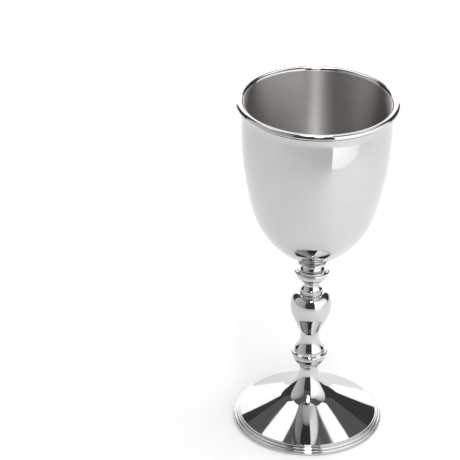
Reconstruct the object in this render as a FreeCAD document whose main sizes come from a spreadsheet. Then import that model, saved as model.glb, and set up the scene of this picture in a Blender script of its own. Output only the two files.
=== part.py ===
import FreeCAD, Part

import math
import os

import Sketcher

# Communion chalice: a spun bowl and a spun bell foot joined by a turned stem.  A threaded rod runs
# up the middle, and one nut under the foot clamps the whole stack together.  Millimetres, +Z up,
# the origin on the table under the middle of the foot.

doc = FreeCAD.newDocument("chalice")
sheet = doc.addObject("Spreadsheet::Sheet", "Sizes")

SIZES = [
    # foot: a cone that sweeps up into a slender throat, its edge turned down to the table
    ("table", "0"),
    ("foot_edge_radius", "34.3"),
    ("foot_edge_height", "4.0"),
    ("foot_sheet", "1.2"),
    ("cone_angle", "26"),
    ("sweep_radius", "18"),
    ("throat_radius", "4.2"),
    ("foot_height", "28.8"),
    # reeded wire round the foot: a plain band, two reeds and a fillet, a ledge between each
    ("foot_band_height", "1.2"),
    ("foot_fillet_height", "0.75"),
    ("reed_width", "0.95"),
    ("reed_height", "0.9"),
    ("reed_curve", "0.72"),
    ("reed_ledge", "0.3"),
    ("foot_fillet_width", "0.5"),
    # tie rod and what it holds
    ("rod_radius", "2.0"),
    ("rod_slip", "0.15"),
    ("thread_slip", "0.05"),
    ("plug_base_height", "18"),
    ("washer_radius", "6.0"),
    ("washer_thickness", "1.0"),
    ("lock_washer_radius", "3.8"),
    ("lock_washer_thickness", "0.9"),
    ("nut_corner_radius", "4.0"),
    ("nut_height", "3.2"),
    ("rod_tail", "1.6"),
    ("rod_chamfer", "0.4"),
    ("rod_top_gap", "1.0"),
    # lower bead ring
    ("lower_bead_height", "2.2"),
    ("lower_bead_neck", "4.1"),
    ("lower_bead_edge", "4.3"),
    ("lower_bead_width", "1.2"),
    ("lower_bead_curve", "0.63"),
    ("lower_bead_groove", "0.25"),
    # lower collar
    ("lower_collar_height", "8.9"),
    ("lower_collar_neck", "4.2"),
    ("lower_cup_height", "6.2"),
    ("lower_cup_curve", "6.6"),
    ("lower_step_radius", "7.6"),
    # both collars end in the same rounded lip
    ("lower_lip_radius", "8.5"),
    ("upper_lip_radius", "8.2"),
    ("lip_width", "1.5"),
    ("lip_curve", "0.8"),
    ("lip_groove", "0.2"),
    # baluster
    ("baluster_height", "32.8"),
    ("baluster_base_radius", "7.3"),
    ("baluster_fillet", "0.5"),
    ("waist_radius", "4.65"),
    ("waist_height", "7.6"),
    ("waist_curve", "11"),
    ("belly_radius", "10.2"),
    ("belly_height", "25.1"),
    ("belly_curve", "14"),
    ("shoulder_drop", "3.6"),
    ("shoulder_curve", "5.4"),
    ("baluster_top_radius", "6.0"),
    # cap above the baluster
    ("cap_height", "5.2"),
    ("cap_radius", "5.6"),
    ("cap_fillet", "0.8"),
    ("cap_groove", "0.3"),
    ("cap_neck_radius", "3.7"),
    # twin bead ring in the upper neck
    ("twin_bead_height", "1.5"),
    ("twin_bead_edge", "3.6"),
    ("twin_bead_curve", "0.45"),
    # upper collar
    ("upper_collar_height", "9.2"),
    ("upper_collar_neck", "4.2"),
    ("upper_cup_height", "4.6"),
    ("upper_cup_curve", "5.1"),
    ("upper_step_radius", "7.4"),
    ("upper_step_height", "0.5"),
    ("upper_flank_start", "6.9"),
    ("upper_flank_top", "4.9"),
    ("upper_flank_height", "2.1"),
    # ring and boss under the bowl
    ("ring_height", "2.2"),
    ("ring_neck", "5.3"),
    ("ring_edge", "6.65"),
    ("ring_shoulder", "0.45"),
    ("ring_curve", "0.8"),
    ("boss_shank_radius", "3.4"),
    ("boss_shank_length", "8"),
    ("boss_slip", "0.1"),
    ("boss_head_radius", "5.3"),
    ("boss_rise", "0.4"),
    # bowl: three arcs that run into each other, then a straight lip
    ("bowl_radius", "36.2"),
    ("bowl_sheet", "1.1"),
    ("wall_curve", "170"),
    ("wall_lean", "15.35"),
    ("base_curve", "20"),
    ("base_lean", "59.85"),
    ("bowl_lip_height", "11.6"),
    # rim: a rounded wire over the edge of the sheet, a moulded band under it
    ("rim_overhang", "2.8"),
    ("rim_curve", "1.6"),
    ("rim_rise", "1.4"),
    ("rim_drop", "0.6"),
    ("rim_inset", "0.35"),
    ("band_neck", "0.5"),
    ("band_groove", "0.25"),
    ("band_fillet_out", "0.9"),
    ("band_fillet_height", "0.8"),
    ("band_fillet_curve", "0.5"),
    ("cove_out", "1.0"),
    ("cove_height", "4.3"),
    ("cove_edge", "0.15"),
    ("cove_curve", "11"),
    # worked out: how the stack builds up
    ("rod_hole", "=rod_radius + rod_slip"),
    ("thread_hole", "=rod_radius + thread_slip"),
    ("boss_hole", "=boss_shank_radius + boss_slip"),
    ("lower_collar_seat", "=foot_height + lower_bead_height"),
    ("baluster_seat", "=lower_collar_seat + lower_collar_height"),
    ("cap_seat", "=baluster_seat + baluster_height"),
    ("twin_bead_seat", "=cap_seat + cap_height"),
    ("upper_collar_seat", "=twin_bead_seat + twin_bead_height"),
    ("ring_seat", "=upper_collar_seat + upper_collar_height"),
    ("boss_seat", "=ring_seat + ring_height - boss_shank_length"),
    ("bowl_seat", "=ring_seat + ring_height + boss_rise"),
    ("washer_seat", "=plug_base_height - washer_thickness"),
    ("lock_washer_seat", "=washer_seat - lock_washer_thickness"),
    ("nut_seat", "=lock_washer_seat - nut_height"),
    ("rod_seat", "=nut_seat - rod_tail"),
    ("rod_length", "=bowl_seat - rod_top_gap - rod_seat"),
    # worked out: the sweep of the foot, outside and inside the sheet
    ("sweep_middle", "=throat_radius + sweep_radius"),
    ("inner_sweep", "=sweep_radius + foot_sheet"),
    ("sweep_start_radius", "=sweep_middle - sweep_radius * sin(cone_angle * 1deg)"),
    ("sweep_start_height", "=foot_edge_height"
                           " + (foot_edge_radius - sweep_start_radius) * tan(cone_angle * 1deg)"),
    ("sweep_middle_height", "=sweep_start_height + sweep_radius * cos(cone_angle * 1deg)"),
    ("foot_top_radius", "=sweep_middle - sqrt(sweep_radius ^ 2"
                        " - (sweep_middle_height - foot_height) ^ 2)"),
    ("plug_top_height", "=foot_height - foot_sheet"),
    ("plug_top_radius", "=sweep_middle - sqrt(inner_sweep ^ 2"
                        " - (sweep_middle_height - plug_top_height) ^ 2)"),
    ("plug_base_radius", "=sweep_middle - sqrt(inner_sweep ^ 2"
                         " - (sweep_middle_height - plug_base_height) ^ 2)"),
    ("inner_start_radius", "=sweep_middle - inner_sweep * sin(cone_angle * 1deg)"),
    ("inner_start_height", "=sweep_middle_height - inner_sweep * cos(cone_angle * 1deg)"),
    ("inner_edge_radius", "=foot_edge_radius - foot_sheet"),
    ("inner_edge_height", "=inner_start_height"
                          " - (inner_edge_radius - inner_start_radius) * tan(cone_angle * 1deg)"),
    # worked out: the steps of the foot wire, from its inner edge outwards
    ("fillet_edge", "=foot_edge_radius + foot_fillet_width"),
    ("upper_reed_edge", "=fillet_edge + reed_ledge"),
    ("upper_reed_outer", "=upper_reed_edge + reed_width"),
    ("lower_reed_edge", "=upper_reed_outer + reed_ledge"),
    ("lower_reed_outer", "=lower_reed_edge + reed_width"),
    ("foot_radius", "=lower_reed_outer + reed_ledge"),
    # worked out: the baluster's straight taper between its waist and its belly
    ("waist_middle", "=waist_radius + waist_curve"),
    ("belly_middle", "=belly_radius - belly_curve"),
    ("flare_drop", "=waist_height - baluster_fillet"),
    ("flare_out", "=baluster_base_radius - waist_radius"),
    ("flare_curve", "=(flare_drop ^ 2 + flare_out ^ 2) / (2 * flare_out)"),
    ("middles_apart", "=waist_middle - belly_middle"),
    ("middles_rise", "=belly_height - waist_height"),
    ("taper_angle", "=atan(middles_rise / middles_apart)"
                    " - acos((waist_curve + belly_curve)"
                    " / sqrt(middles_rise ^ 2 + middles_apart ^ 2))"),
    ("shoulder_start", "=baluster_height - shoulder_drop"),
    ("shoulder_radius", "=belly_middle"
                        " + sqrt(belly_curve ^ 2 - (shoulder_start - belly_height) ^ 2)"),
    # worked out: the hollow flanks of the cap and the upper collar
    ("cap_flank_start", "=2 * cap_fillet + cap_groove"),
    ("cap_flank_rise", "=cap_height - cap_flank_start"),
    ("cap_flank_out", "=cap_radius - cap_groove - cap_neck_radius"),
    ("cap_flank_curve", "=(cap_flank_rise ^ 2 + cap_flank_out ^ 2) / (2 * cap_flank_out)"),
    ("upper_step_start", "=upper_cup_height + lip_width + lip_groove"),
    ("upper_flank_base", "=upper_step_start + upper_step_height"),
    ("upper_flank_out", "=upper_flank_start - upper_flank_top"),
    ("upper_flank_curve", "=(upper_flank_height ^ 2 + upper_flank_out ^ 2)"
                          " / (2 * upper_flank_out)"),
    # worked out: the curve of the bowl, heights from its lowest point
    ("belly_arc", "=(bowl_radius - wall_curve * (1 - cos(wall_lean * 1deg))"
                  " - base_curve * cos(base_lean * 1deg))"
                  " / (cos(wall_lean * 1deg) - cos(base_lean * 1deg))"),
    ("base_end_radius", "=base_curve * cos(base_lean * 1deg)"),
    ("base_end_height", "=base_curve * (1 - sin(base_lean * 1deg))"),
    ("wall_start_radius", "=bowl_radius - wall_curve * (1 - cos(wall_lean * 1deg))"),
    ("wall_start_height", "=base_end_height"
                          " + belly_arc * (sin(base_lean * 1deg) - sin(wall_lean * 1deg))"),
    ("lip_start_height", "=wall_start_height + wall_curve * sin(wall_lean * 1deg)"),
    ("bowl_height", "=lip_start_height + bowl_lip_height"),
    ("bowl_inner_radius", "=bowl_radius - bowl_sheet"),
    ("rim_seat", "=bowl_seat + bowl_height"),
    ("rim_radius", "=bowl_radius + rim_overhang"),
    # worked out: the rim wire's crown, and the inner side that falls from it to the sheet
    ("rim_crown", "=rim_radius - rim_curve"),
    ("rim_inner", "=bowl_inner_radius + rim_inset"),
    ("rim_inner_curve", "=((rim_crown - rim_inner) ^ 2 + rim_rise ^ 2) / (2 * rim_rise)"),
    ("rim_base_radius", "=rim_crown + sqrt(rim_curve ^ 2 - (rim_rise + rim_drop - rim_curve) ^ 2)"),
]

for row, (name, text) in enumerate(SIZES, start=1):
    sheet.set("A" + str(row), name)
    sheet.set("B" + str(row), text)
    sheet.setAlias("B" + str(row), name)
doc.recompute()

BULGE = 1
HOLLOW = -1
coordinate_cells = []


def cell(expression):
    """Put one coordinate of an outline in the sheet, worked out from the named sizes."""
    address = "D" + str(len(coordinate_cells) + 1)
    coordinate_cells.append(address)
    sheet.set(address, "=" + expression)
    return address


def origin_plane(body, role):
    """Find a plane of the body's own origin."""
    for feature in body.Origin.OriginFeatures:
        if feature.Role == role:
            return feature
    raise RuntimeError("no " + role + " in " + body.Label)


def curved_edge(start, end, radius, side):
    """An arc between two points of an anticlockwise outline, bulging out of it or hollowing it."""
    across = end - start
    left = FreeCAD.Vector(-across.y, across.x, 0).normalize()
    to_centre = math.sqrt(radius ** 2 - (across.Length / 2) ** 2)
    centre = start + across / 2 + left * (side * to_centre)
    return Part.Arc(start, centre - left * (side * radius), end)


def turned(label, seat, outline):
    """Revolve an outline round the chalice's axis; its heights are measured from the seat.

    The outline runs anticlockwise: out along the bottom, up the outside, in along the top and
    down the bore.  Each entry is (radius, height), the edge to the next one being straight, or
    (radius, height, arc radius, BULGE or HOLLOW) where that edge is an arc.
    """
    body = doc.addObject("PartDesign::Body", label)
    body.setExpression("Placement.Base.z", "Sizes." + seat)
    sketch = body.newObject("Sketcher::SketchObject", label + "_outline")
    sketch.AttachmentSupport = (origin_plane(body, "XZ_Plane"), [""])
    sketch.MapMode = "FlatFace"

    corners = [(cell(entry[0]), cell(entry[1])) for entry in outline]
    arcs = [cell(entry[2]) if len(entry) > 2 else None for entry in outline]
    sheet.recompute()
    points = [FreeCAD.Vector(sheet.get(out), sheet.get(up), 0) for out, up in corners]

    near_ends = []
    far_ends = []
    for index, entry in enumerate(outline):
        start = points[index]
        end = points[(index + 1) % len(points)]
        if arcs[index]:
            edge = curved_edge(start, end, sheet.get(arcs[index]), entry[3])
        else:
            edge = Part.LineSegment(start, end)
        sketch.addGeometry(edge)
        runs_forward = sketch.getPoint(index, 1).isEqual(start, 1e-6)
        near_ends.append(1 if runs_forward else 2)
        far_ends.append(2 if runs_forward else 1)

    def bind(size, *constraint):
        number = sketch.addConstraint(Sketcher.Constraint(*constraint, sheet.get(size)))
        sketch.setExpression("Constraints[" + str(number) + "]", "Sizes." + size)

    for index, (out, up) in enumerate(corners):
        before = (index - 1) % len(corners)
        sketch.addConstraint(
            Sketcher.Constraint("Coincident", before, far_ends[before], index, near_ends[index])
        )
        bind(out, "DistanceX", index, near_ends[index])
        bind(up, "DistanceY", index, near_ends[index])
        if arcs[index]:
            bind(arcs[index], "Radius", index)

    revolution = body.newObject("PartDesign::Revolution", label + "_turned")
    revolution.Profile = sketch
    revolution.ReferenceAxis = (sketch, ["V_Axis"])
    revolution.Angle = 360
    return body


def flat_washer(label, seat, bore, radius, height):
    """A plain flat washer."""
    turned(label, seat, [(bore, "0"), (radius, "0"), (radius, height), (bore, height)])


# ---- foot --------------------------------------------------------------------------------------

# Spun sheet, its edge turned straight down to the table and its throat closed by a flat top.
turned("foot", "table", [
    ("inner_edge_radius", "0"),
    ("foot_edge_radius", "0"),
    ("foot_edge_radius", "foot_edge_height"),
    ("sweep_start_radius", "sweep_start_height", "sweep_radius", HOLLOW),
    ("foot_top_radius", "foot_height"),
    ("rod_hole", "foot_height"),
    ("rod_hole", "plug_top_height"),
    ("plug_top_radius", "plug_top_height", "inner_sweep", BULGE),
    ("inner_start_radius", "inner_start_height"),
    ("inner_edge_radius", "inner_edge_height"),
])

# Reeded wire soldered round the turned-down edge.
turned("foot_wire", "table", [
    ("foot_edge_radius", "0"),
    ("foot_radius", "0"),
    ("foot_radius", "foot_band_height"),
    ("lower_reed_outer", "foot_band_height", "reed_curve", BULGE),
    ("lower_reed_edge", "foot_band_height + reed_height"),
    ("upper_reed_outer", "foot_band_height + reed_height", "reed_curve", BULGE),
    ("upper_reed_edge", "foot_band_height + 2 * reed_height"),
    ("fillet_edge", "foot_band_height + 2 * reed_height"),
    ("fillet_edge", "foot_band_height + 2 * reed_height + foot_fillet_height"),
    ("foot_edge_radius", "foot_band_height + 2 * reed_height + foot_fillet_height"),
])

# Turned plug soldered inside the throat, so that the nut pulls on solid metal.
turned("foot_plug", "plug_base_height", [
    ("rod_hole", "0"),
    ("plug_base_radius", "0", "inner_sweep", HOLLOW),
    ("plug_top_radius", "plug_top_height - plug_base_height"),
    ("rod_hole", "plug_top_height - plug_base_height"),
])

# ---- clamp -------------------------------------------------------------------------------------

# Threaded rod through the whole stem, screwed into the boss under the bowl.
turned("tie_rod", "rod_seat", [
    ("0", "0"),
    ("rod_radius - rod_chamfer", "0"),
    ("rod_radius", "rod_chamfer"),
    ("rod_radius", "rod_length - rod_chamfer"),
    ("rod_radius - rod_chamfer", "rod_length"),
    ("0", "rod_length"),
])

# Wide plain washer against the plug, then a spring washer.
flat_washer("clamp_washer", "washer_seat", "rod_hole", "washer_radius", "washer_thickness")
flat_washer("lock_washer", "lock_washer_seat",
              "rod_hole", "lock_washer_radius", "lock_washer_thickness")

# Plain hexagon nut: a six-sided prism with the threaded hole cut through it.
nut = doc.addObject("PartDesign::Body", "nut")
nut.setExpression("Placement.Base.z", "Sizes.nut_seat")
blank = nut.newObject("PartDesign::AdditivePrism", "nut_blank")
blank.Polygon = 6
blank.setExpression("Circumradius", "Sizes.nut_corner_radius")
blank.setExpression("Height", "Sizes.nut_height")
hole = nut.newObject("PartDesign::SubtractiveCylinder", "nut_hole")
hole.setExpression("Radius", "Sizes.thread_hole")
hole.setExpression("Height", "Sizes.nut_height")

# ---- stem --------------------------------------------------------------------------------------

# Bead ring on the foot's flat top: a round bead with a narrow neck over it.
turned("lower_bead", "foot_height", [
    ("rod_hole", "0"),
    ("lower_bead_edge", "0", "lower_bead_curve", BULGE),
    ("lower_bead_edge", "lower_bead_width"),
    ("lower_bead_neck", "lower_bead_width"),
    ("lower_bead_neck", "lower_bead_width + lower_bead_groove"),
    ("lower_bead_edge", "lower_bead_width + lower_bead_groove"),
    ("lower_bead_edge", "lower_bead_height - lower_bead_groove"),
    ("lower_bead_neck", "lower_bead_height"),
    ("rod_hole", "lower_bead_height"),
])

# Lower collar: a small cup under a rounded lip, a flat step on top for the baluster.
turned("lower_collar", "lower_collar_seat", [
    ("rod_hole", "0"),
    ("lower_collar_neck", "0", "lower_cup_curve", BULGE),
    ("lower_lip_radius", "lower_cup_height", "lip_curve", BULGE),
    ("lower_lip_radius", "lower_cup_height + lip_width"),
    ("lower_step_radius", "lower_cup_height + lip_width + lip_groove"),
    ("lower_step_radius", "lower_collar_height"),
    ("rod_hole", "lower_collar_height"),
])

# Baluster: flared foot, slim waist, a taper out to the belly and a round shoulder.
turned("baluster", "baluster_seat", [
    ("rod_hole", "0"),
    ("baluster_base_radius", "0"),
    ("baluster_base_radius", "baluster_fillet", "flare_curve", HOLLOW),
    ("waist_radius", "waist_height", "waist_curve", HOLLOW),
    ("waist_middle - waist_curve * cos(taper_angle)",
     "waist_height + waist_curve * sin(taper_angle)"),
    ("belly_middle + belly_curve * cos(taper_angle)",
     "belly_height - belly_curve * sin(taper_angle)", "belly_curve", BULGE),
    ("shoulder_radius", "shoulder_start", "shoulder_curve", BULGE),
    ("baluster_top_radius", "baluster_height"),
    ("rod_hole", "baluster_height"),
])

# Cap on the baluster: two fillets with a groove between, then a hollow flank up to the neck.
turned("baluster_cap", "cap_seat", [
    ("rod_hole", "0"),
    ("cap_radius", "0"),
    ("cap_radius", "cap_fillet"),
    ("cap_radius - cap_groove", "cap_fillet"),
    ("cap_radius - cap_groove", "cap_fillet + cap_groove"),
    ("cap_radius", "cap_fillet + cap_groove"),
    ("cap_radius", "cap_flank_start"),
    ("cap_radius - cap_groove", "cap_flank_start", "cap_flank_curve", HOLLOW),
    ("cap_neck_radius", "cap_height"),
    ("rod_hole", "cap_height"),
])

# Twin bead ring in the narrow upper neck.
turned("twin_bead", "twin_bead_seat", [
    ("rod_hole", "0"),
    ("twin_bead_edge", "0", "twin_bead_curve", BULGE),
    ("twin_bead_edge", "twin_bead_height / 2", "twin_bead_curve", BULGE),
    ("twin_bead_edge", "twin_bead_height"),
    ("rod_hole", "twin_bead_height"),
])

# Upper collar: cup, rounded lip and step like the lower one, then a hollow flank.  Its top is
# bored out for the shank of the boss.
turned("upper_collar", "upper_collar_seat", [
    ("rod_hole", "0"),
    ("upper_collar_neck", "0", "upper_cup_curve", BULGE),
    ("upper_lip_radius", "upper_cup_height", "lip_curve", BULGE),
    ("upper_lip_radius", "upper_cup_height + lip_width"),
    ("upper_step_radius", "upper_step_start"),
    ("upper_step_radius", "upper_flank_base"),
    ("upper_flank_start", "upper_flank_base", "upper_flank_curve", HOLLOW),
    ("upper_flank_top", "upper_flank_base + upper_flank_height"),
    ("upper_flank_top", "upper_collar_height"),
    ("boss_hole", "upper_collar_height"),
    ("boss_hole", "boss_seat - upper_collar_seat - rod_top_gap"),
    ("rod_hole", "boss_seat - upper_collar_seat - rod_top_gap"),
])

# Moulded ring between the collar and the bowl.
turned("bowl_ring", "ring_seat", [
    ("boss_hole", "0"),
    ("ring_neck", "0"),
    ("ring_edge", "ring_shoulder", "ring_curve", BULGE),
    ("ring_edge", "ring_height - ring_shoulder"),
    ("ring_neck", "ring_height"),
    ("boss_hole", "ring_height"),
])

# Boss soldered under the bowl: a dished head, and a threaded shank that takes the tie rod.
turned("bowl_boss", "boss_seat", [
    ("thread_hole", "0"),
    ("boss_shank_radius", "0"),
    ("boss_shank_radius", "boss_shank_length"),
    ("boss_head_radius", "boss_shank_length"),
    ("boss_head_radius", "boss_shank_length + boss_rise + base_curve"
                         " - sqrt(base_curve ^ 2 - boss_head_radius ^ 2)", "base_curve", HOLLOW),
    ("thread_hole", "boss_shank_length + boss_rise + base_curve"
                    " - sqrt(base_curve ^ 2 - thread_hole ^ 2)"),
])

# ---- bowl --------------------------------------------------------------------------------------

# Spun sheet of one thickness: base, belly and wall arcs, then a straight lip.
turned("bowl", "bowl_seat", [
    ("0", "0", "base_curve", BULGE),
    ("base_end_radius", "base_end_height", "belly_arc", BULGE),
    ("wall_start_radius", "wall_start_height", "wall_curve", BULGE),
    ("bowl_radius", "lip_start_height"),
    ("bowl_radius", "bowl_height"),
    ("bowl_inner_radius", "bowl_height"),
    ("bowl_inner_radius", "lip_start_height", "wall_curve - bowl_sheet", HOLLOW),
    ("wall_start_radius - bowl_sheet * cos(wall_lean * 1deg)",
     "wall_start_height + bowl_sheet * sin(wall_lean * 1deg)", "belly_arc - bowl_sheet", HOLLOW),
    ("base_end_radius - bowl_sheet * cos(base_lean * 1deg)",
     "base_end_height + bowl_sheet * sin(base_lean * 1deg)", "base_curve - bowl_sheet", HOLLOW),
    ("0", "bowl_sheet"),
])

# Rounded wire soldered over the raw edge of the bowl.
turned("rim_wire", "rim_seat", [
    ("bowl_radius", "-rim_drop"),
    ("rim_base_radius", "-rim_drop", "rim_curve", BULGE),
    ("rim_crown", "rim_rise", "rim_inner_curve", BULGE),
    ("rim_inner", "0"),
    ("bowl_radius", "0"),
])

# Moulded band round the bowl under the rim wire: cove, groove, round fillet and undercut neck.
band_neck_base = "-rim_drop - band_groove"
band_fillet_base = band_neck_base + " - band_fillet_height"
cove_top = band_fillet_base + " - band_groove"
turned("rim_band", "rim_seat", [
    ("bowl_radius", cove_top + " - cove_height"),
    ("bowl_radius + cove_edge", cove_top + " - cove_height", "cove_curve", HOLLOW),
    ("bowl_radius + cove_out", cove_top),
    ("bowl_radius + band_neck", cove_top),
    ("bowl_radius + band_neck", band_fillet_base),
    ("bowl_radius + band_fillet_out", band_fillet_base, "band_fillet_curve", BULGE),
    ("bowl_radius + band_fillet_out", band_neck_base),
    ("bowl_radius + band_neck", band_neck_base),
    ("bowl_radius + band_neck", "-rim_drop"),
    ("bowl_radius", "-rim_drop"),
])

# ---- check and write ---------------------------------------------------------------------------

doc.recompute()
for item in doc.Objects:
    if "Invalid" in item.State or "Error" in item.State:
        raise RuntimeError(item.Label + " did not recompute: " + ", ".join(item.State))

os.makedirs("parts", exist_ok=True)
for item in doc.Objects:
    if item.TypeId != "PartDesign::Body":
        continue
    if item.Shape.isNull() or not item.Shape.isValid() or len(item.Shape.Solids) != 1:
        raise RuntimeError(item.Label + " is not one sound solid")
    item.Shape.exportStep("parts/" + item.Label + ".step")
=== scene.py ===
import math

import bmesh
import bpy
from mathutils import Euler, Matrix, Vector


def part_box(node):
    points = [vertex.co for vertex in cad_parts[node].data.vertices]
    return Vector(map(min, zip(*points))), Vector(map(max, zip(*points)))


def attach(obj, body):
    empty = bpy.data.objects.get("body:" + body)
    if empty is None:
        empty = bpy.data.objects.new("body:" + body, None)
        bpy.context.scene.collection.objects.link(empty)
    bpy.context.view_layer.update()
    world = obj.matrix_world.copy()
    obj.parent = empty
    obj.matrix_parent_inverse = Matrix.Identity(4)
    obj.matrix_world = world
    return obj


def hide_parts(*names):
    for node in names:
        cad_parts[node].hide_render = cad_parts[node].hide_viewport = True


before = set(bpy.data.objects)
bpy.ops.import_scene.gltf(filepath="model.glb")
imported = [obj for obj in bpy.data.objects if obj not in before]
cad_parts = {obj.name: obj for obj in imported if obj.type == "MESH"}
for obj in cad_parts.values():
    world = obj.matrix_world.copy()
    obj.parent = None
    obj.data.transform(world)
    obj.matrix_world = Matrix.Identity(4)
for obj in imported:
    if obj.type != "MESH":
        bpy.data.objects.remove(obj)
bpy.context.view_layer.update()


# ---- foot --------------------------------------------------------------------------------------
# The bell foot is spun from one round of brass sheet, its edge turned straight down to the table.
# It is chrome plated and buffed outside; the hollow under it keeps the dull rings of the spinning.

BULGE = 1
HOLLOW = -1


def seat_of(node):
    """The height of a node's lowest point, in millimetres."""
    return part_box(node)[0][2] * 1000


def reach_of(node):
    """The largest radius of a node, in millimetres."""
    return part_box(node)[1][0] * 1000


def height_of(node):
    """How tall a node is, in millimetres."""
    low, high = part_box(node)
    return (high[2] - low[2]) * 1000


def draw_outline(name, seat, outline, edge):
    """Draw half of a turned piece's section as one line of vertices, and leave it in edit mode.

    Each stop is (radius, height above the seat), with a straight edge to the next one, or
    (radius, height, arc radius, BULGE or HOLLOW) where that edge is an arc.  Sharp corners are
    worn round, by about the size of edge.  A line that doesn't end on the axis closes on itself.
    """
    bpy.ops.object.select_all(action="DESELECT")
    places = [Vector((stop[0], 0, seat + stop[1])) / 1000 for stop in outline]
    bpy.ops.mesh.primitive_plane_add(size=0.001, location=places[0])
    piece = bpy.context.object
    piece.name = piece.data.name = name
    bpy.ops.object.transform_apply(location=True, rotation=True, scale=True)
    bpy.ops.object.mode_set(mode="EDIT")
    bpy.ops.mesh.merge(type="CENTER")

    closed = outline[0][0] > 0 or outline[-1][0] > 0
    for here, there, stop in zip(places, places[1:] + places[:closed], outline):
        across = there - here
        if len(stop) == 2:
            bpy.ops.mesh.extrude_region_move(TRANSFORM_OT_translate={"value": across})
            continue
        radius, side = stop[2] / 1000, stop[3]
        left = Vector((-across.z, 0, across.x)).normalized()
        middle = here + across / 2 + left * side * math.sqrt(radius ** 2 - (across.length / 2) ** 2)
        turn = 2 * math.asin(across.length / 2 / radius)
        # An arc steps by no more than 4 degrees, and by no more than 1 mm.
        longest_step = min(math.radians(4), 0.001 / radius)
        bpy.ops.mesh.spin(steps=max(5, math.ceil(turn / longest_step)), angle=side * turn,
                          center=middle, axis=(0, 1, 0))
    bpy.ops.mesh.select_all(action="SELECT")
    bpy.ops.mesh.remove_doubles(threshold=1e-6)

    mesh = bmesh.from_edit_mesh(piece.data)
    bpy.ops.mesh.select_all(action="DESELECT")
    for corner in mesh.verts:
        if len(corner.link_edges) == 2:
            one, other = [link.other_vert(corner).co - corner.co for link in corner.link_edges]
            corner.select = one.angle(other) < math.radians(150)
    mesh.select_flush_mode()
    bmesh.update_edit_mesh(piece.data)
    bpy.ops.mesh.bevel(offset=edge / 1000, segments=3, affect="VERTICES")
    return piece


def finish_mesh(piece):
    """Merge doubles, turn every face outwards, and shade it smooth with true flats."""
    bpy.ops.mesh.select_all(action="SELECT")
    bpy.ops.mesh.remove_doubles(threshold=1e-6)
    bpy.ops.mesh.normals_make_consistent(inside=False)
    bpy.ops.object.mode_set(mode="OBJECT")
    bpy.ops.object.shade_smooth()
    even = piece.modifiers.new("even_flats", "WEIGHTED_NORMAL")
    bpy.ops.object.modifier_apply(modifier=even.name)


def turned(name, seat, outline, edge=0.1, steps=192):
    """A piece turned on the lathe: its outline, spun once round the chalice's axis."""
    piece = draw_outline(name, seat, outline, edge)
    bpy.ops.mesh.select_all(action="SELECT")
    bpy.ops.mesh.spin(steps=steps, angle=2 * math.pi, center=(0, 0, 0), axis=(0, 0, 1))
    finish_mesh(piece)
    return piece


def stands_for(piece, node, material):
    """Tie a piece to the frame in place of a CAD node, and give it its material."""
    piece.data.materials.clear()
    piece.data.materials.append(material)
    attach(piece, "root")
    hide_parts(node)


def linear(code):
    """An sRGB hex colour as the linear colour that a socket takes."""
    parts = [int(code[place:place + 2], 16) / 255 for place in (1, 3, 5)]
    return [part / 12.92 if part <= 0.04045 else ((part + 0.055) / 1.055) ** 2.4
            for part in parts] + [1]


def add(tree, kind, settings=(), links=()):
    """Add a node, with its settings (sockets or properties) and the outputs that feed its inputs."""
    node = tree.nodes.new("ShaderNode" + kind)
    for name, value in dict(settings).items():
        if isinstance(name, str) and hasattr(node, name):
            setattr(node, name, value)
        else:
            node.inputs[name].default_value = value
    for name, output in dict(links).items():
        tree.links.new(output, node.inputs[name])
    return node


def blank_material(name):
    """A new material with no nodes but its output."""
    material = bpy.data.materials.new(name)
    material.use_nodes = True
    material.node_tree.nodes.clear()
    return material, material.node_tree, material.node_tree.nodes.new("ShaderNodeOutputMaterial")


# Bright chrome plate, buffed on a soft mop: a neutral grey mirror.  The eye gets sharp reflections
# with a slight waver from the spun metal under the plate, and a faint haze where hands have been.
chrome_plate, tree, output = blank_material("bright_chrome_plate")
place = add(tree, "TexCoord").outputs["Object"]
# Handling haze comes in patches of about 12 mm.
haze = add(tree, "TexNoise", {"Scale": 1 / 0.012, "Detail": 4.0}, {"Vector": place})
haze_tint = add(tree, "MixRGB", {1: linear("#CBCBCA"), 2: linear("#C3C3C3")},
                {0: haze.outputs["Fac"]})
haze_rough = add(tree, "MapRange", {"From Min": 0.3, "From Max": 0.7, "To Min": 0.03,
                                    "To Max": 0.07}, {"Value": haze.outputs["Fac"]})
# The former leaves a waver about 9 mm round the piece and 5 mm up it, a few microns deep.
waver_place = add(tree, "Mapping", {"Scale": (1, 1, 1.8)}, {"Vector": place})
waver = add(tree, "TexNoise", {"Scale": 1 / 0.009, "Detail": 1.0},
            {"Vector": waver_place.outputs["Vector"]})
waver_bump = add(tree, "Bump", {"Strength": 0.04, "Distance": 0.0001},
                 {"Height": waver.outputs["Fac"]})
# Mop lines are under 0.05 mm apart; they are drawn 0.4 mm apart so that they show at all.
mop_place = add(tree, "Mapping", {"Scale": (0.05, 0.05, 1)}, {"Vector": place})
mop_lines = add(tree, "TexNoise", {"Scale": 1 / 0.0004, "Detail": 2.0},
                {"Vector": mop_place.outputs["Vector"]})
mop_bump = add(tree, "Bump", {"Strength": 0.02, "Distance": 0.00002},
               {"Height": mop_lines.outputs["Fac"], "Normal": waver_bump.outputs["Normal"]})
surface = add(tree, "BsdfPrincipled", {"Metallic": 1.0},
              {"Base Color": haze_tint.outputs[0], "Roughness": haze_rough.outputs["Result"],
               "Normal": mop_bump.outputs["Normal"]})
tree.links.new(surface.outputs["BSDF"], output.inputs["Surface"])

# Plated brass left satin from the lathe: fine rings run round it, so light smears across them into
# long soft streaks, and the warm brown of a thin plate over brass comes through.
satin_plate, tree, output = blank_material("satin_lathe_brushed_plate")
place = add(tree, "TexCoord").outputs["Object"]
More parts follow.
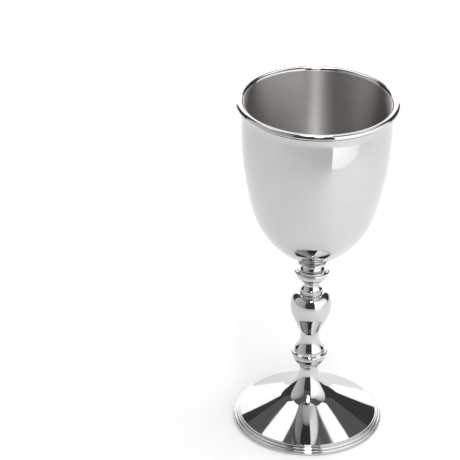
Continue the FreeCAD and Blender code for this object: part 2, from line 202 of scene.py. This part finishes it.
# Brush rings are about 0.1 mm apart; they are drawn 0.5 mm apart so that they show.
ring_place = add(tree, "Mapping", {"Scale": (0.04, 0.04, 1)}, {"Vector": place})
rings = add(tree, "TexNoise", {"Scale": 1 / 0.0005, "Detail": 3.0},
            {"Vector": ring_place.outputs["Vector"]})
ring_tint = add(tree, "MixRGB", {1: linear("#C6C2C0"), 2: linear("#DAD6D4")},
                {0: rings.outputs["Fac"]})
ring_rough = add(tree, "MapRange", {"To Min": 0.46, "To Max": 0.60},
                 {"Value": rings.outputs["Fac"]})
ring_bump = add(tree, "Bump", {"Strength": 0.12, "Distance": 0.00005},
                {"Height": rings.outputs["Fac"]})
# The rings run round the axis, square to both the axis and the way out from it.
along_ring = add(tree, "VectorMath", {"operation": "CROSS_PRODUCT", 0: (0, 0, 1)}, {1: place})
surface = add(tree, "BsdfPrincipled",
              {"Metallic": 1.0, "Anisotropic": 1.0, "Anisotropic Rotation": 0.25},
              {"Base Color": ring_tint.outputs[0], "Roughness": ring_rough.outputs["Result"],
               "Normal": ring_bump.outputs["Normal"], "Tangent": along_ring.outputs["Vector"]})
tree.links.new(surface.outputs["BSDF"], output.inputs["Surface"])

foot_edge = 34.3
foot_edge_height = 4.0
foot_height = height_of("foot")
foot_sheet = 1.2
foot_slope = math.radians(26)
sweep_radius = 18.0
throat_radius = 4.2
rod_hole = 2.15
sweep_middle = throat_radius + sweep_radius
sweep_start = sweep_middle - sweep_radius * math.sin(foot_slope)
sweep_start_height = foot_edge_height + (foot_edge - sweep_start) * math.tan(foot_slope)
sweep_middle_height = sweep_start_height + sweep_radius * math.cos(foot_slope)


def foot_skin(depth, top):
    """The foot's outline at a depth into its sheet: edge, cone start and throat."""
    sweep = sweep_radius + depth
    cone_top = (sweep_middle - sweep * math.sin(foot_slope),
                sweep_middle_height - sweep * math.cos(foot_slope))
    edge = foot_edge - depth
    edge_height = cone_top[1] - (edge - cone_top[0]) * math.tan(foot_slope)
    throat = sweep_middle - math.sqrt(sweep ** 2 - (sweep_middle_height - top) ** 2)
    return (edge, edge_height), cone_top, (throat, top)


outer = foot_skin(0, foot_height)
# The plate on the inside is shown as a skin of its own, a quarter of the sheet deep.
skin = foot_sheet * 0.75
middle = foot_skin(skin, foot_height - skin)
inner = foot_skin(foot_sheet, foot_height - foot_sheet)

foot = turned("foot", seat_of("foot"), [
    (middle[0][0], 0),
    (foot_edge, 0),
    outer[0],
    (*outer[1], sweep_radius, HOLLOW),
    outer[2],
    (rod_hole, foot_height),
    (rod_hole, foot_height - skin),
    (*middle[2], sweep_radius + skin, BULGE),
    middle[1],
    middle[0],
])
stands_for(foot, "foot", chrome_plate)

foot_lining = turned("foot_lining", seat_of("foot"), [
    (inner[0][0], 0),
    (middle[0][0], 0),
    middle[0],
    (*middle[1], sweep_radius + skin, HOLLOW),
    middle[2],
    (rod_hole, foot_height - skin),
    (rod_hole, foot_height - foot_sheet),
    (*inner[2], sweep_radius + foot_sheet, BULGE),
    inner[1],
    inner[0],
], edge=0.05)
stands_for(foot_lining, "foot", satin_plate)


# ---- foot wire ---------------------------------------------------------------------------------
# Drawn wire of half-round section with two reeds, bent round the foot's turned-down edge and soft
# soldered to it.  It stiffens the thin sheet and is what the chalice stands on.

wire_band = 1.2
reed_height, reed_width, reed_curve, reed_ledge = 0.9, 0.95, 0.72, 0.3
wire_fillet, wire_fillet_width = 0.75, 0.5
lower_reed = reach_of("foot_wire") - reed_ledge
upper_reed = lower_reed - reed_width - reed_ledge
wire_top = wire_band + 2 * reed_height

foot_wire = turned("foot_wire", seat_of("foot_wire"), [
    (foot_edge, 0),
    (reach_of("foot_wire"), 0),
    (reach_of("foot_wire"), wire_band),
    (lower_reed, wire_band, reed_curve, BULGE),
    (lower_reed - reed_width, wire_band + reed_height),
    (upper_reed, wire_band + reed_height, reed_curve, BULGE),
    (upper_reed - reed_width, wire_top),
    (foot_edge + wire_fillet_width, wire_top),
    (foot_edge + wire_fillet_width, wire_top + wire_fillet),
    (foot_edge, wire_top + wire_fillet),
], edge=0.09)
stands_for(foot_wire, "foot_wire", chrome_plate)


# ---- foot plug ---------------------------------------------------------------------------------
# A brass plug turned to fit the throat and soldered in, so that the nut pulls on solid metal.

# Free-turning brass as it leaves the lathe: fine feed rings, and a yellow gone a little brown.
turned_brass, tree, output = blank_material("turned_brass")
place = add(tree, "TexCoord").outputs["Object"]
split = add(tree, "SeparateXYZ", links={"Vector": place})
out_x = add(tree, "Math", {"operation": "MULTIPLY"}, {0: split.outputs["X"], 1: split.outputs["X"]})
out_y = add(tree, "Math", {"operation": "MULTIPLY_ADD"},
            {0: split.outputs["Y"], 1: split.outputs["Y"], 2: out_x.outputs[0]})
out = add(tree, "Math", {"operation": "SQRT"}, {0: out_y.outputs[0]})
feed_place = add(tree, "CombineXYZ", links={"X": out.outputs[0], "Z": split.outputs["Z"]})
# The lathe's feed is 0.1 mm a turn; its rings are drawn about 0.3 mm apart so that they show.
feed = add(tree, "TexNoise", {"Scale": 1 / 0.0003, "Detail": 1.0},
           {"Vector": feed_place.outputs["Vector"]})
stain = add(tree, "TexNoise", {"Scale": 1 / 0.004, "Detail": 5.0}, {"Vector": place})
stain_tint = add(tree, "MixRGB", {1: linear("#B08D4E"), 2: linear("#8C6C38")},
                 {0: stain.outputs["Fac"]})
feed_rough = add(tree, "MapRange", {"To Min": 0.22, "To Max": 0.42},
                 {"Value": feed.outputs["Fac"]})
feed_bump = add(tree, "Bump", {"Strength": 0.25, "Distance": 0.00005},
                {"Height": feed.outputs["Fac"]})
surface = add(tree, "BsdfPrincipled", {"Metallic": 1.0},
              {"Base Color": stain_tint.outputs[0], "Roughness": feed_rough.outputs["Result"],
               "Normal": feed_bump.outputs["Normal"]})
tree.links.new(surface.outputs["BSDF"], output.inputs["Surface"])

plug_base = seat_of("foot_plug")
plug_height = height_of("foot_plug")
plug_foot = foot_skin(foot_sheet, plug_base)[2][0]

foot_plug = turned("foot_plug", plug_base, [
    (rod_hole, 0),
    (plug_foot, 0, sweep_radius + foot_sheet, HOLLOW),
    (inner[2][0], plug_height),
    (rod_hole, plug_height),
], edge=0.2, steps=96)
stands_for(foot_plug, "foot_plug", turned_brass)


# ---- washers, nut and tie rod ------------------------------------------------------------------
# Zinc-plated steel hardware: a wide plain washer and a split spring washer against the plug, then
# a hexagon nut on the end of the threaded rod that pulls the whole stack together.

# Zinc plate, clear passivated: a soft bluish grey with a fine crystal mottle and dull patches.
zinc_plate, tree, output = blank_material("zinc_plated_steel")
place = add(tree, "TexCoord").outputs["Object"]
mottle = add(tree, "TexNoise", {"Scale": 1 / 0.0012, "Detail": 6.0}, {"Vector": place})
mottle_tint = add(tree, "MixRGB", {1: linear("#A9ADB0"), 2: linear("#8B8F93")},
                  {0: mottle.outputs["Fac"]})
mottle_rough = add(tree, "MapRange", {"To Min": 0.25, "To Max": 0.45},
                   {"Value": mottle.outputs["Fac"]})
mottle_bump = add(tree, "Bump", {"Strength": 0.15, "Distance": 0.00003},
                  {"Height": mottle.outputs["Fac"]})
surface = add(tree, "BsdfPrincipled", {"Metallic": 1.0},
              {"Base Color": mottle_tint.outputs[0], "Roughness": mottle_rough.outputs["Result"],
               "Normal": mottle_bump.outputs["Normal"]})
tree.links.new(surface.outputs["BSDF"], output.inputs["Surface"])

washer_height = height_of("clamp_washer")
clamp_washer = turned("clamp_washer", seat_of("clamp_washer"), [
    (rod_hole, 0),
    (reach_of("clamp_washer"), 0),
    (reach_of("clamp_washer"), washer_height),
    (rod_hole, washer_height),
], edge=0.18, steps=96)
stands_for(clamp_washer, "clamp_washer", zinc_plate)

# The spring washer is a square wire with a cut through it, squeezed flat under the nut.
lock_height = height_of("lock_washer")
lock_gap = math.radians(14)
lock_washer = draw_outline("lock_washer", seat_of("lock_washer"), [
    (rod_hole, 0),
    (reach_of("lock_washer"), 0),
    (reach_of("lock_washer"), lock_height),
    (rod_hole, lock_height),
], edge=0.1)
bpy.ops.mesh.select_all(action="SELECT")
bpy.ops.mesh.edge_face_add()
bpy.ops.mesh.spin(steps=96, angle=2 * math.pi - lock_gap, center=(0, 0, 0), axis=(0, 0, 1))
finish_mesh(lock_washer)
stands_for(lock_washer, "lock_washer", zinc_plate)


def cut_by(piece, cutter, operation):
    """Apply a boolean of a cutter to a piece, and delete the cutter."""
    bpy.context.view_layer.objects.active = piece
    cut = piece.modifiers.new("cut", "BOOLEAN")
    cut.operation = operation
    cut.object = cutter
    cut.solver = "EXACT"
    bpy.ops.object.modifier_apply(modifier=cut.name)
    bpy.data.objects.remove(cutter)


# A hexagon bar, its corners turned off at 30 degrees on both faces, and a hole with a countersink.
nut_height = height_of("nut")
nut_corner = reach_of("nut")
thread_hole = 2.05
countersink = 0.35
nut_flat = nut_corner * math.cos(math.radians(30))
# The blank stands this far clear of what it trims, and its slope rises by this much there.
clear, clear_rise = 0.01, 0.006
turned_off = (nut_corner - nut_flat) * math.tan(math.radians(30))
bpy.ops.object.select_all(action="DESELECT")
bpy.ops.mesh.primitive_cylinder_add(vertices=6, radius=nut_corner / 1000, depth=nut_height / 1000,
                                    location=(0, 0, (seat_of("nut") + nut_height / 2) / 1000),
                                    rotation=(0, 0, math.radians(30)))
nut = bpy.context.object
nut.name = nut.data.name = "nut"
bpy.ops.object.transform_apply(location=True, rotation=True, scale=True)
chamfered_disc = turned("nut_blank", seat_of("nut"), [
    (thread_hole + countersink, 0),
    (nut_flat, 0),
    (nut_corner + clear, turned_off + clear_rise),
    (nut_corner + clear, nut_height - turned_off - clear_rise),
    (nut_flat, nut_height),
    (thread_hole + countersink, nut_height),
    (thread_hole, nut_height - countersink),
    (thread_hole, countersink),
], edge=0.02, steps=96)
cut_by(nut, chamfered_disc, "INTERSECT")
bpy.ops.object.select_all(action="DESELECT")
nut.select_set(True)
bpy.ops.object.shade_smooth_by_angle(angle=math.radians(20))
stands_for(nut, "nut", zinc_plate)

# The rod's thread: one ridge a pitch tall, wound up the rod, its two ends cut off square.
rod_radius = reach_of("tie_rod")
rod_height = height_of("tie_rod")
thread_pitch = 0.7
thread_depth = 0.38
# Shares of the pitch: each sloping flank, and the narrow flat on the crest.
flank_share, crest_share = 0.42, 0.16
rod_chamfer = 0.4
rod_base = seat_of("tie_rod")
bpy.ops.object.select_all(action="DESELECT")
bpy.ops.mesh.primitive_plane_add(size=0.001, location=(0, 0, 0))
tie_rod = bpy.context.object
tie_rod.name = tie_rod.data.name = "tie_rod"
bpy.ops.object.mode_set(mode="EDIT")
bpy.ops.mesh.merge(type="CENTER")
ridge_start = Vector((rod_radius - thread_depth, 0, rod_base - 2 * thread_pitch)) / 1000
bpy.ops.transform.translate(value=ridge_start)
for out, up in [(thread_depth, flank_share), (0, crest_share), (-thread_depth, flank_share)]:
    bpy.ops.mesh.extrude_region_move(TRANSFORM_OT_translate={
        "value": (out / 1000, 0, up * thread_pitch / 1000)})
bpy.ops.object.mode_set(mode="OBJECT")
winding = tie_rod.modifiers.new("winding", "SCREW")
winding.axis = "Z"
winding.steps = winding.render_steps = 24
winding.screw_offset = thread_pitch / 1000
winding.iterations = math.ceil(rod_height / thread_pitch) + 4
winding.use_merge_vertices = False
bpy.ops.object.modifier_apply(modifier=winding.name)
bpy.ops.object.mode_set(mode="EDIT")
bpy.ops.mesh.select_all(action="SELECT")
bpy.ops.mesh.remove_doubles(threshold=2e-6)
for end, side in [(rod_base, -1), (rod_base + rod_height, 1)]:
    bpy.ops.mesh.select_all(action="SELECT")
    bpy.ops.mesh.bisect(plane_co=(0, 0, end / 1000), plane_no=(0, 0, side),
                        use_fill=True, clear_outer=True)
finish_mesh(tie_rod)
chamfered_rod = turned("rod_blank", rod_base, [
    (0, 0),
    (rod_radius - rod_chamfer, 0),
    (rod_radius + clear, rod_chamfer),
    (rod_radius + clear, rod_height - rod_chamfer),
    (rod_radius - rod_chamfer, rod_height),
    (0, rod_height),
], edge=0.02, steps=48)
cut_by(tie_rod, chamfered_rod, "INTERSECT")
bpy.ops.object.select_all(action="DESELECT")
tie_rod.select_set(True)
bpy.ops.object.shade_smooth_by_angle(angle=math.radians(40))
stands_for(tie_rod, "tie_rod", zinc_plate)


# ---- lower bead and lower collar ---------------------------------------------------------------
# Turned brass, plated and buffed, each bored for the rod: a round bead ring that stands on the
# foot's flat top, and a cup under a rounded lip that carries the baluster.

bead_edge, bead_width, bead_curve, bead_groove = 4.3, 1.2, 0.63, 0.25
bead_height = height_of("lower_bead")
lower_neck = 4.1

lower_bead = turned("lower_bead", seat_of("lower_bead"), [
    (rod_hole, 0),
    (bead_edge, 0, bead_curve, BULGE),
    (bead_edge, bead_width),
    (lower_neck, bead_width),
    (lower_neck, bead_width + bead_groove),
    (bead_edge, bead_width + bead_groove),
    (bead_edge, bead_height - bead_groove),
    (lower_neck, bead_height),
    (rod_hole, bead_height),
], edge=0.06)
stands_for(lower_bead, "lower_bead", chrome_plate)

# Both collars end in the same rounded lip.
lip_width, lip_curve, lip_groove = 1.5, 0.8, 0.2
collar_neck = 4.2
lower_cup, lower_cup_curve, lower_lip, lower_step = 6.2, 6.6, 8.5, 7.6
lower_collar_height = height_of("lower_collar")

lower_collar = turned("lower_collar", seat_of("lower_collar"), [
    (rod_hole, 0),
    (collar_neck, 0, lower_cup_curve, BULGE),
    (lower_lip, lower_cup, lip_curve, BULGE),
    (lower_lip, lower_cup + lip_width),
    (lower_step, lower_cup + lip_width + lip_groove),
    (lower_step, lower_collar_height),
    (rod_hole, lower_collar_height),
], edge=0.09)
stands_for(lower_collar, "lower_collar", chrome_plate)


# ---- baluster ----------------------------------------------------------------------------------
# The middle of the stem, turned from one brass bar: a flared foot, a slim waist, a long taper out
# to the belly and a round shoulder.  Plated and buffed like the rest.

baluster_foot, baluster_fillet = 7.3, 0.5
waist, waist_height, waist_curve = 4.65, 7.6, 11.0
belly, belly_height, belly_curve = 10.2, 25.1, 14.0
shoulder_drop, shoulder_curve, baluster_top = 3.6, 5.4, 6.0
baluster_height = height_of("baluster")

flare_out = baluster_foot - waist
flare_curve = ((waist_height - baluster_fillet) ** 2 + flare_out ** 2) / (2 * flare_out)
waist_middle = waist + waist_curve
belly_middle = belly - belly_curve
apart = waist_middle - belly_middle
rise = belly_height - waist_height
taper = math.atan(rise / apart) - math.acos((waist_curve + belly_curve) / math.hypot(rise, apart))
shoulder_start = baluster_height - shoulder_drop
shoulder = belly_middle + math.sqrt(belly_curve ** 2 - (shoulder_start - belly_height) ** 2)

baluster = turned("baluster", seat_of("baluster"), [
    (rod_hole, 0),
    (baluster_foot, 0),
    (baluster_foot, baluster_fillet, flare_curve, HOLLOW),
    (waist, waist_height, waist_curve, HOLLOW),
    (waist_middle - waist_curve * math.cos(taper), waist_height + waist_curve * math.sin(taper)),
    (belly_middle + belly_curve * math.cos(taper),
     belly_height - belly_curve * math.sin(taper), belly_curve, BULGE),
    (shoulder, shoulder_start, shoulder_curve, BULGE),
    (baluster_top, baluster_height),
    (rod_hole, baluster_height),
], edge=0.1)
stands_for(baluster, "baluster", chrome_plate)


# ---- baluster cap, twin bead and upper collar --------------------------------------------------
# Three more turned and plated rings on the rod: a cap of two fillets with a hollow flank, a ring
# of two fine beads in the narrow neck, and a cup with the same lip as the lower collar's.

cap_radius, cap_fillet, cap_groove, cap_neck = 5.6, 0.8, 0.3, 3.7
cap_height = height_of("baluster_cap")
flank_start = 2 * cap_fillet + cap_groove
flank_out = cap_radius - cap_groove - cap_neck
flank_curve = ((cap_height - flank_start) ** 2 + flank_out ** 2) / (2 * flank_out)

baluster_cap = turned("baluster_cap", seat_of("baluster_cap"), [
    (rod_hole, 0),
    (cap_radius, 0),
    (cap_radius, cap_fillet),
    (cap_radius - cap_groove, cap_fillet),
    (cap_radius - cap_groove, cap_fillet + cap_groove),
    (cap_radius, cap_fillet + cap_groove),
    (cap_radius, flank_start),
    (cap_radius - cap_groove, flank_start, flank_curve, HOLLOW),
    (cap_neck, cap_height),
    (rod_hole, cap_height),
], edge=0.07)
stands_for(baluster_cap, "baluster_cap", chrome_plate)

twin_edge, twin_curve = 3.6, 0.45
twin_height = height_of("twin_bead")

twin_bead = turned("twin_bead", seat_of("twin_bead"), [
    (rod_hole, 0),
    (twin_edge, 0, twin_curve, BULGE),
    (twin_edge, twin_height / 2, twin_curve, BULGE),
    (twin_edge, twin_height),
    (rod_hole, twin_height),
], edge=0.04)
stands_for(twin_bead, "twin_bead", chrome_plate)

upper_cup, upper_cup_curve, upper_lip = 4.6, 5.1, 8.2
upper_step, upper_step_height = 7.4, 0.5
upper_flank, upper_flank_top, upper_flank_height = 6.9, 4.9, 2.1
upper_collar_height = height_of("upper_collar")
step_start = upper_cup + lip_width + lip_groove
flank_base = step_start + upper_step_height
flank_in = upper_flank - upper_flank_top
upper_flank_curve = (upper_flank_height ** 2 + flank_in ** 2) / (2 * flank_in)
# Its top is bored out for the shank of the boss, with room under the shank's end.
boss_hole = 3.5
shank_room = 1.0
bored_from = seat_of("bowl_boss") - seat_of("upper_collar") - shank_room

upper_collar = turned("upper_collar", seat_of("upper_collar"), [
    (rod_hole, 0),
    (collar_neck, 0, upper_cup_curve, BULGE),
    (upper_lip, upper_cup, lip_curve, BULGE),
    (upper_lip, upper_cup + lip_width),
    (upper_step, step_start),
    (upper_step, flank_base),
    (upper_flank, flank_base, upper_flank_curve, HOLLOW),
    (upper_flank_top, flank_base + upper_flank_height),
    (upper_flank_top, upper_collar_height),
    (boss_hole, upper_collar_height),
    (boss_hole, bored_from),
    (rod_hole, bored_from),
], edge=0.08)
stands_for(upper_collar, "upper_collar", chrome_plate)


# ---- bowl ring and bowl boss -------------------------------------------------------------------
# A plated moulded ring closes the joint under the bowl.  Inside it is the boss, a brass stud with
# a dished head, soldered to the bowl and tapped for the rod.

ring_neck, ring_shoulder, ring_curve = 5.3, 0.45, 0.8
ring_edge = 6.65
ring_height = height_of("bowl_ring")

bowl_ring = turned("bowl_ring", seat_of("bowl_ring"), [
    (boss_hole, 0),
    (ring_neck, 0),
    (ring_edge, ring_shoulder, ring_curve, BULGE),
    (ring_edge, ring_height - ring_shoulder),
    (ring_neck, ring_height),
    (boss_hole, ring_height),
], edge=0.06)
stands_for(bowl_ring, "bowl_ring", chrome_plate)

base_curve = 20.0
shank_radius, shank_length = 3.4, 8.0
boss_head = reach_of("bowl_boss")
boss_base = seat_of("bowl_boss")
dish_low = seat_of("bowl") - boss_base


def dish(radius):
    """The height of the bowl's base over the boss's seat, at a radius."""
    return dish_low + base_curve - math.sqrt(base_curve ** 2 - radius ** 2)


bowl_boss = turned("bowl_boss", boss_base, [
    (thread_hole, 0),
    (shank_radius, 0),
    (shank_radius, shank_length),
    (boss_head, shank_length),
    (boss_head, dish(boss_head), base_curve, HOLLOW),
    (thread_hole, dish(thread_hole)),
], edge=0.05, steps=96)
stands_for(bowl_boss, "bowl_boss", turned_brass)
# It was soldered on before plating, so the edge of its head is as bright as the bowl.
bowl_boss.data.materials.append(chrome_plate)
plated_beyond = boss_head - 0.1
plated_above = boss_base + shank_length - 1
for face in bowl_boss.data.polygons:
    if face.center.xy.length * 1000 > plated_beyond and face.center.z * 1000 > plated_above:
        face.material_index = 1


# ---- bowl --------------------------------------------------------------------------------------
# One round of brass sheet spun over a former into a deep egg-shaped cup with an upright lip.  The
# outside is buffed bright; the inside is left satin, with the rings of the brush running round it.

bowl_sheet = 1.1
wall_curve, wall_lean = 170.0, math.radians(15.35)
base_lean = math.radians(59.85)
lip_height = 11.6
bowl_base = seat_of("bowl")
bowl_height = height_of("bowl")
bowl_radius = reach_of("bowl")
lip_start = bowl_height - lip_height
wall_start = (bowl_radius - wall_curve * (1 - math.cos(wall_lean)),
              lip_start - wall_curve * math.sin(wall_lean))
base_end = (base_curve * math.cos(base_lean), base_curve * (1 - math.sin(base_lean)))
belly_arc = (wall_start[0] - base_end[0]) / (math.cos(wall_lean) - math.cos(base_lean))


def bowl_skin(depth):
    """The bowl's outline at a depth into its sheet, from the lip down: lip, wall, belly, base."""
    return [
        (bowl_radius - depth, bowl_height),
        (bowl_radius - depth, lip_start),
        (wall_start[0] - depth * math.cos(wall_lean), wall_start[1] + depth * math.sin(wall_lean)),
        (base_end[0] - depth * math.cos(base_lean), base_end[1] + depth * math.sin(base_lean)),
        (0, depth),
    ]


def bowl_shell(outside, inside):
    """The closed outline between two depths into the sheet."""
    lip, wall, belly, base, low = bowl_skin(outside)
    outline = [(*low, base_curve - outside, BULGE), (*base, belly_arc - outside, BULGE),
               (*belly, wall_curve - outside, BULGE), wall, lip]
    lip, wall, belly, base, low = bowl_skin(inside)
    return outline + [lip, (*wall, wall_curve - inside, HOLLOW),
                      (*belly, belly_arc - inside, HOLLOW), (*base, base_curve - inside, HOLLOW),
                      low]


# The satin inside is shown as a skin of its own, the innermost quarter of the sheet.
bowl_skin_depth = bowl_sheet * 0.75

bowl = turned("bowl", bowl_base, bowl_shell(0, bowl_skin_depth), edge=0.05, steps=256)
stands_for(bowl, "bowl", chrome_plate)

bowl_lining = turned("bowl_lining", bowl_base, bowl_shell(bowl_skin_depth, bowl_sheet),
                     edge=0.05, steps=256)
stands_for(bowl_lining, "bowl", satin_plate)


# ---- rim band and rim wire ---------------------------------------------------------------------
# A moulded band is soldered round the bowl under its edge, and a rounded wire over the raw edge
# itself, so that the lip is smooth to drink from.  Both are plated and buffed with the bowl.

rim_seat = seat_of("bowl") + height_of("bowl")
rim_drop, rim_curve, rim_rise, rim_inset = 0.6, 1.6, 1.4, 0.35
band_neck, band_groove = 0.5, 0.25
fillet_out, fillet_height, fillet_curve = 0.9, 0.8, 0.5
cove_out, cove_height, cove_edge, cove_curve = 1.0, 4.3, 0.15, 11.0
neck_low = -rim_drop - band_groove
fillet_low = neck_low - fillet_height
cove_top = fillet_low - band_groove

rim_band = turned("rim_band", rim_seat, [
    (bowl_radius, cove_top - cove_height),
    (bowl_radius + cove_edge, cove_top - cove_height, cove_curve, HOLLOW),
    (bowl_radius + cove_out, cove_top),
    (bowl_radius + band_neck, cove_top),
    (bowl_radius + band_neck, fillet_low),
    (bowl_radius + fillet_out, fillet_low, fillet_curve, BULGE),
    (bowl_radius + fillet_out, neck_low),
    (bowl_radius + band_neck, neck_low),
    (bowl_radius + band_neck, -rim_drop),
    (bowl_radius, -rim_drop),
], edge=0.06, steps=256)
stands_for(rim_band, "rim_band", chrome_plate)

rim_crown = reach_of("rim_wire") - rim_curve
rim_inner = bowl_radius - bowl_sheet + rim_inset
inner_curve = ((rim_crown - rim_inner) ** 2 + rim_rise ** 2) / (2 * rim_rise)
rim_outer = rim_crown + math.sqrt(rim_curve ** 2 - (rim_rise + rim_drop - rim_curve) ** 2)

rim_wire = turned("rim_wire", rim_seat, [
    (bowl_radius, -rim_drop),
    (rim_outer, -rim_drop, rim_curve, BULGE),
    (rim_crown, rim_rise, inner_curve, BULGE),
    (rim_inner, 0),
    (bowl_radius, 0),
], edge=0.06, steps=256)
stands_for(rim_wire, "rim_wire", chrome_plate)


# ---- studio ------------------------------------------------------------------------------------
# A plain white floor between fabric light panels on the right and the left, with a gap in front
# for the camera, a white wall behind, and soft light from above.  The panels don't show to the camera.

# Matt white paper.
paper, tree, output = blank_material("matt_white_paper")
fibre = add(tree, "TexNoise", {"Scale": 400.0, "Detail": 2.0},
            {"Vector": add(tree, "TexCoord").outputs["Object"]})
fibre_tint = add(tree, "MixRGB", {1: linear("#EDEDED"), 2: linear("#E9E9E9")},
                 {0: fibre.outputs["Fac"]})
surface = add(tree, "BsdfPrincipled", {"Roughness": 0.9, "Specular IOR Level": 0.1},
              {"Base Color": fibre_tint.outputs[0]})
tree.links.new(surface.outputs["BSDF"], output.inputs["Surface"])

bpy.ops.object.select_all(action="DESELECT")
bpy.ops.mesh.primitive_plane_add(size=1, location=(0, 0.35, 0))
floor = bpy.context.object
floor.name = "floor"
floor.scale = (3.0, 2.1, 1)
floor.data.materials.append(paper)


def light_cloth(cloth, name):
    """Name a lit cloth, hide it from the camera, and give it a bare material to glow with."""
    cloth.name = name
    glow, tree, output = blank_material(name + "_cloth")
    cloth.data.materials.append(glow)
    cloth.visible_camera = False
    return tree, output


def panel(name, left, right, height, ends, top, falls_from, foot=1.0):
    """Stand a lit fabric panel on the plan line from left to right.

    ends are its brightness at its left and right end.  top and foot are the shares of that left
    at its top and foot: it falls off above falls_from (from -0.5 at its foot to 0.5 at its top),
    and rises to full over its lowest sixth.
    """
    across = Vector(right) - Vector(left)
    middle = (Vector(left) + Vector(right)) / 2
    bpy.ops.mesh.primitive_plane_add(size=1, location=(*middle, height / 2),
                                     rotation=(math.radians(90), 0,
                                               math.atan2(across.y, across.x)))
    bpy.context.object.scale = (across.length, height, 1)
    tree, output = light_cloth(bpy.context.object, name)
    split = add(tree, "SeparateXYZ", links={"Vector": add(tree, "TexCoord").outputs["Object"]})
    sideways = add(tree, "MapRange", {"From Min": -0.5, "From Max": 0.5, "To Min": ends[0],
                                      "To Max": ends[1]}, {"Value": split.outputs["X"]})
    upwards = add(tree, "MapRange", {"interpolation_type": "SMOOTHSTEP",
                                     "From Min": falls_from, "From Max": 0.5,
                                     "To Min": 1.0, "To Max": top}, {"Value": split.outputs["Y"]})
    downwards = add(tree, "MapRange", {"interpolation_type": "SMOOTHSTEP",
                                       "From Min": -0.5, "From Max": -0.33,
                                       "To Min": foot, "To Max": 1.0}, {"Value": split.outputs["Y"]})
    both = add(tree, "Math", {"operation": "MULTIPLY"},
               {0: sideways.outputs["Result"], 1: upwards.outputs["Result"]})
    strength = add(tree, "Math", {"operation": "MULTIPLY"},
                   {0: both.outputs[0], 1: downwards.outputs["Result"]})
    light = add(tree, "Emission", {"Color": linear("#FFFFFF")}, {"Strength": strength.outputs[0]})
    tree.links.new(light.outputs["Emission"], output.inputs["Surface"])


def at(azimuth, distance):
    """A place on the floor, by its angle round from the front towards the right."""
    turn = math.radians(azimuth)
    return distance * math.sin(turn), -distance * math.cos(turn)


right_corner = at(62, 0.36)
panel("right_key_panel", at(21, 0.30), right_corner, 0.60, (2.2, 1.9), 0.4, 0, foot=0.72)
panel("right_side_panel", right_corner, at(107, 0.46), 0.66, (1.9, 1.3), 0.35, -0.2, foot=0.62)
panel("left_panel", at(-108, 0.55), at(-33, 0.55), 0.80, (0.85, 0.42), 0.5, 0.1)
panel("back_wall", at(149, 0.80), at(-143, 0.80), 0.75, (1.7, 1.7), 0.9, 0.1)


def overhead(name, centre, size, strength):
    """Hang a lit panel level over the chalice."""
    bpy.ops.mesh.primitive_plane_add(size=1, location=centre)
    bpy.context.object.scale = (*size, 1)
    tree, output = light_cloth(bpy.context.object, name)
    light = add(tree, "Emission", {"Color": linear("#FFFFFF"), "Strength": strength})
    tree.links.new(light.outputs["Emission"], output.inputs["Surface"])


# One above and behind, which lights the front of the foot; a strip above and in front, which draws
# the bright streak in the satin; one straight above, for the rest of the satin; and a dim ceiling.
overhead("back_softbox", (0, 0.36, 0.98), (1.1, 0.5), 1.8)
overhead("strip_light", (0.03, -0.55, 1.25), (0.16, 0.5), 18.0)
overhead("top_softbox", (0, 0, 1.15), (0.34, 0.34), 8.0)
overhead("ceiling", (0, -0.2, 1.6), (3.2, 3.2), 0.14)

fill_lamp = bpy.data.lights.new("overhead_fill", "AREA")
fill_lamp.shape = "SQUARE"
fill_lamp.size = 0.9
fill_lamp.energy = 11
fill = bpy.data.objects.new("overhead_fill", fill_lamp)
fill.location = (0.38, 0.4, 1.15)
fill.visible_glossy = False
bpy.context.collection.objects.link(fill)

world = bpy.data.worlds.new("dim_room")
world.use_nodes = True
background = world.node_tree.nodes["Background"]
background.inputs["Color"].default_value = linear("#FFFFFF")
background.inputs["Strength"].default_value = 0.06
bpy.context.scene.world = world

camera_lens = bpy.data.cameras.new("camera")
camera_lens.lens = 180.8
camera_lens.sensor_width = 36
camera_lens.clip_end = 10
camera = bpy.data.objects.new("camera", camera_lens)
camera.location = (-0.04065, -0.98294, 0.65667)
tilt = Euler((math.radians(60.77), 0, 0)).to_matrix()
roll = Matrix.Rotation(math.radians(0.85), 3, "Z")
camera.rotation_euler = (tilt @ roll).to_euler()
bpy.context.collection.objects.link(camera)
bpy.context.scene.camera = camera
bpy.context.scene.view_settings.view_transform = "Standard"
